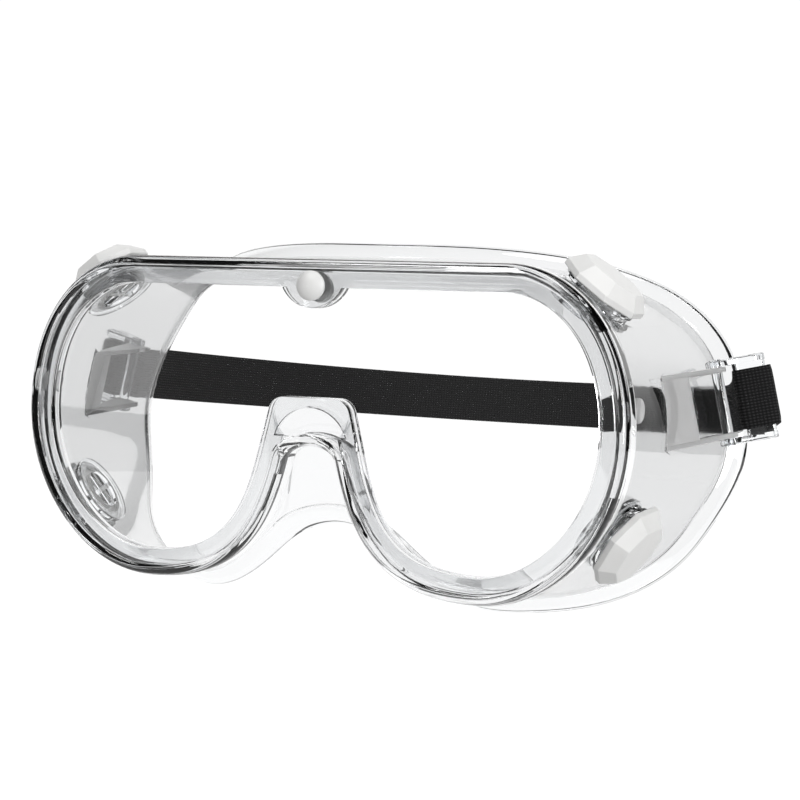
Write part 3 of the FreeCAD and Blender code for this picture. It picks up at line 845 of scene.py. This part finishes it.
for strap in straps:
    paint(strap, webbing)
for name, ob in frame["nodes"].items():
    if name.startswith(("vent_cap", "lens_lock", "stud_washer")):
        paint(ob, white)
    elif name == "lens":
        paint(ob, lens_clear)
    elif name.startswith(("buckle", "pivot_pin", "vent_ring")):
        paint(ob, hard_clear)

# =================================================================================================
# Studio
# =================================================================================================
FLOOR_Z = float(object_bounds()[0][2]) - 0.0003
FLOOR_R, FLOOR_Y, FLOOR_SIDES = 0.36, 0.02, 96
ROUND = [2 * math.pi * i / FLOOR_SIDES for i in range(FLOOR_SIDES)]
edge = [(FLOOR_R * math.cos(a), FLOOR_Y + FLOOR_R * math.sin(a), FLOOR_Z) for a in ROUND]
floor = mesh_object("floor", edge, [tuple(range(FLOOR_SIDES))], smooth=False)
mat, nodes, links, shader = new_material("floor_white")
shader.inputs["Base Color"].default_value = (0.12, 0.12, 0.12, 1)
shader.inputs["Roughness"].default_value = 0.9
shader.inputs["Specular IOR Level"].default_value = 0.0
shader.inputs["Emission Color"].default_value = (1, 1, 1, 1)
shader.inputs["Emission Strength"].default_value = 1.02
floor.data.materials.append(mat)
floor.visible_diffuse = False

world = bpy.data.worlds.new("studio")
bpy.context.scene.world = world
world.use_nodes = True
wn, wl = world.node_tree.nodes, world.node_tree.links
coord = wn.new("ShaderNodeTexCoord")
dot = wn.new("ShaderNodeVectorMath")
dot.operation = "DOT_PRODUCT"
dot.inputs[1].default_value = (-0.392, 0.918, -0.06)         # towards the centre of the backdrop
wl.new(coord.outputs["Generated"], dot.inputs[0])
half = wn.new("ShaderNodeMapRange")
half.inputs["From Min"].default_value = -1.0
half.inputs["From Max"].default_value = 1.0
wl.new(dot.outputs["Value"], half.inputs["Value"])
rays = wn.new("ShaderNodeLightPath")


def surround(strength, stops=None):
    """Studio walls: plain white, or stops of brightness from opposite the backdrop to its centre."""
    node = wn.new("ShaderNodeBackground")
    node.inputs["Color"].default_value = (1, 1, 1, 1)
    node.inputs["Strength"].default_value = strength
    if stops:
        ramp = wn.new("ShaderNodeValToRGB")
        el = ramp.color_ramp.elements
        while len(el) < len(stops):
            el.new(0.5)
        for e, (pos, v) in zip(el, stops):
            e.position = pos
            e.color = (v, v, v, 1)
        wl.new(half.outputs["Result"], ramp.inputs["Fac"])
        wl.new(ramp.outputs["Color"], node.inputs["Color"])
    return node.outputs["Background"]


def for_rays(kind, other, these):
    mix = wn.new("ShaderNodeMixShader")
    wl.new(rays.outputs[kind], mix.inputs[0])
    wl.new(other, mix.inputs[1])
    wl.new(these, mix.inputs[2])
    return mix.outputs["Shader"]


# dark flags stand on both sides of the backdrop, so that the edges of the clear plastic draw dark
through = surround(1.1, [(0.0, 0.8), (0.5, 0.75), (0.6, 0.02), (0.79, 0.005), (0.86, 1.0), (1.0, 1.0)])
mirrored = surround(1.1, [(0.0, 0.12), (0.3, 0.12), (0.45, 0.02), (0.79, 0.005), (0.86, 1.0), (1.0, 1.0)])
sky = for_rays("Is Glossy Ray", through, mirrored)
sky = for_rays("Is Diffuse Ray", sky, surround(0.36))
sky = for_rays("Is Camera Ray", sky, surround(1.05))
wl.new(sky, wn["World Output"].inputs["Surface"])


def area_light(name, location, target, size, energy):
    data = bpy.data.lights.new(name, "AREA")
    data.shape = "DISK"
    data.size = size
    data.energy = energy
    ob = bpy.data.objects.new(name, data)
    ob.location = location
    ob.rotation_euler = (target - Vector(location)).to_track_quat("-Z", "Y").to_euler()
    bpy.context.scene.collection.objects.link(ob)


LAMP_TARGET = Vector((0, 0.03, 0))
area_light("key", (-0.35, -0.7, 0.95), LAMP_TARGET, 0.5, 4.5)
area_light("top", (0.35, 0.25, 1.1), LAMP_TARGET, 0.6, 2.5)
area_light("fill", (1.0, -0.65, 0.12), LAMP_TARGET, 0.5, 8.0)

# ---- camera -----------------------------------------------------------------------------------------
YAW, PITCH, ROLL = 0.40356, 0.05925, 0.02851
DIST, SHIFT_X, SHIFT_Z = 0.45993, 0.02131, 0.00559
back = Vector((math.sin(YAW) * math.cos(PITCH), -math.cos(YAW) * math.cos(PITCH), math.sin(PITCH)))
right = (-back).cross(Vector((0, 0, 1))).normalized()
up = right.cross(-back)
cam_x = right * math.cos(ROLL) + up * math.sin(ROLL)
cam_y = -right * math.sin(ROLL) + up * math.cos(ROLL)
cam_data = bpy.data.cameras.new("camera")
cam_data.lens = 85.5
cam_data.sensor_width = 36.0
cam_data.clip_start = 0.01
camera = bpy.data.objects.new("camera", cam_data)
place = back * DIST + right * SHIFT_X + up * SHIFT_Z
camera.matrix_world = Matrix.Translation(place) @ Matrix((cam_x, cam_y, back)).transposed().to_4x4()
scene = bpy.context.scene
scene.collection.objects.link(camera)
scene.camera = camera
scene.view_settings.view_transform = "Standard"
scene.cycles.max_bounces = 24
scene.cycles.transmission_bounces = 24
scene.cycles.transparent_max_bounces = 16
